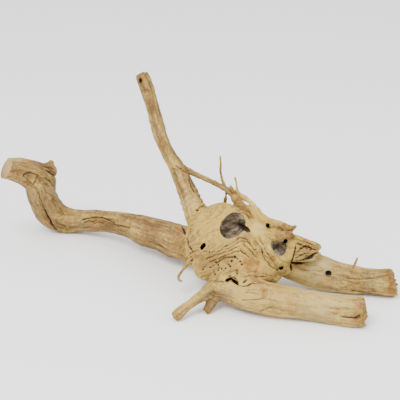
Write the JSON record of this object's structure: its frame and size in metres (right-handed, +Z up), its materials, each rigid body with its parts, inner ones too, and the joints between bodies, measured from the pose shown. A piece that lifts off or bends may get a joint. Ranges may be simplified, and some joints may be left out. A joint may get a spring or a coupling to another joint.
{
  "type": "piece of driftwood",
  "caption": "Branchy piece of driftwood: a hollow root knot with long curved limbs, a tall thin branch, torn ends and fine twigs, lying on its limbs.",
  "frame": {"origin": "middle of the underside of the bounding box, at floor height", "axes": "+X to the viewer's right along the longest extent, +Y away from the viewer, +Z up"},
  "size_m": [0.5148, 0.2917, 0.2622],
  "materials": {
    "wood": "bare weathered wood, matt"
  },
  "bodies": {
    "root": {"driftwood": "wood"}
  },
  "joints": []
}
